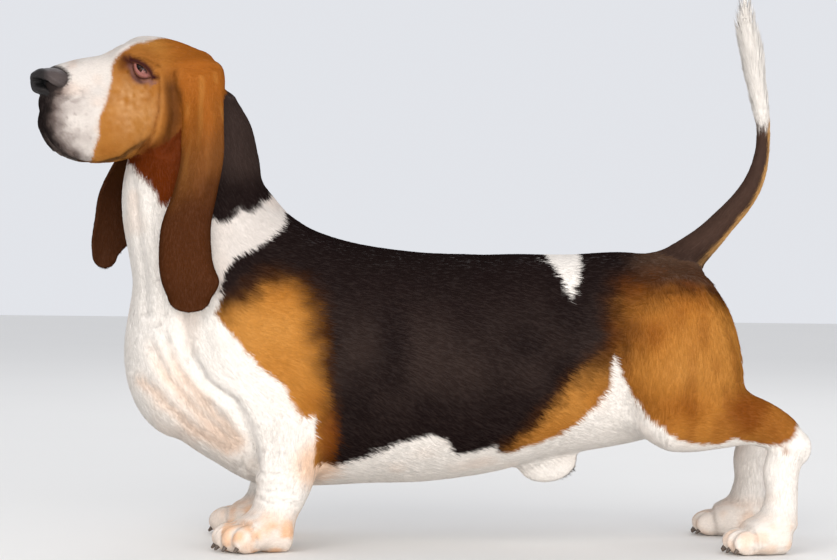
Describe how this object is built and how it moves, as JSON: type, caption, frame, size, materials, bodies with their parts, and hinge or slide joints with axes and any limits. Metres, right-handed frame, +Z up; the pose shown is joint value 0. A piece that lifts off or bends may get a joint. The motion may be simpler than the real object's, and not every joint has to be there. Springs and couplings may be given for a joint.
{
  "type": "basset hound model",
  "caption": "Still, life-size display model of a standing tricolour basset hound with long hanging ears, short legs and raised tail.",
  "frame": {"origin": "middle of the dog's box in plan, on the floor that its soles stand on", "axes": "+X towards the tail, so the nose points to -X; +Y towards the dog's right side; +Z up"},
  "size_m": [0.8106, 0.2494, 0.5749],
  "materials": {
    "coat_black": "short glossy black dog coat with a brown cast",
    "coat_tan": "short tan dog coat",
    "coat_white": "short white dog coat with faint ticking",
    "coat_brown": "very short dark brown coat of the ears",
    "nose_leather": "moist pebbled black nose",
    "eye": "wet dark brown eye",
    "claw": "dark horn"
  },
  "bodies": {
    "root": {"head": "coat_tan", "left_ear": "coat_brown", "left_eye": "eye", "left_fore_claw_1": "claw", "left_fore_claw_2": "claw", "left_fore_claw_3": "claw", "left_fore_claw_4": "claw", "left_fore_paw": "coat_white", "left_foreleg": "coat_white", "left_hind_claw_1": "claw", "left_hind_claw_2": "claw", "left_hind_claw_3": "claw", "left_hind_claw_4": "claw", "left_hind_leg": "coat_white", "left_hind_paw": "coat_white", "left_thigh": "coat_tan", "neck": "coat_white", "nose": "nose_leather", "right_ear": "coat_brown", "right_eye": "eye", "right_fore_claw_1": "claw", "right_fore_claw_2": "claw", "right_fore_claw_3": "claw", "right_fore_claw_4": "claw", "right_fore_paw": "coat_white", "right_foreleg": "coat_white", "right_hind_claw_1": "claw", "right_hind_claw_2": "claw", "right_hind_claw_3": "claw", "right_hind_claw_4": "claw", "right_hind_leg": "coat_white", "right_hind_paw": "coat_white", "right_thigh": "coat_tan", "tail_middle": "coat_black", "tail_root": "coat_black", "tail_tip": "coat_white", "torso": "coat_black"}
  },
  "joints": []
}
